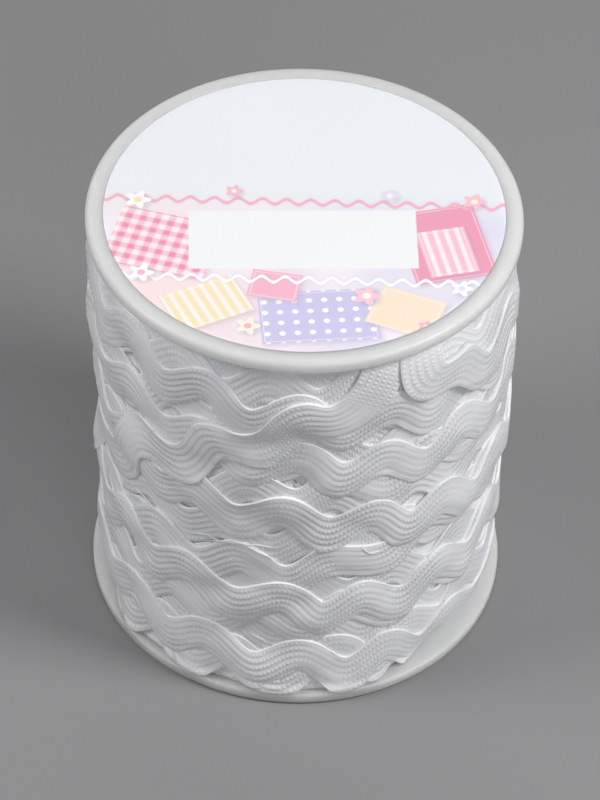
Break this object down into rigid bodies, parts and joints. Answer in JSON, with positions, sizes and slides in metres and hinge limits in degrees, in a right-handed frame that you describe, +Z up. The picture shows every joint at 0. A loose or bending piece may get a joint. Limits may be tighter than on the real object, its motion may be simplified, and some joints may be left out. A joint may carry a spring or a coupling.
{
  "type": "roll of ric rac trimming on a plastic spool",
  "caption": "White wavy ric rac trimming wound on a two-flange plastic spool with a round printed paper label on top.",
  "frame": {"origin": "centre of the base, on the floor that the lower flange stands on", "axes": "+Z up along the spool's axis, towards the label; -Y faces the viewer of the picture"},
  "size_m": [0.08, 0.08, 0.0917],
  "materials": {
    "spool_plastic": "satin, milky and slightly translucent",
    "ric_rac": "satin woven polyester",
    "label_paper": "smooth printed paper"
  },
  "bodies": {
    "root": {"flange_bottom": "spool_plastic", "flange_top": "spool_plastic", "winding": "ric_rac", "label": "label_paper"}
  },
  "joints": []
}
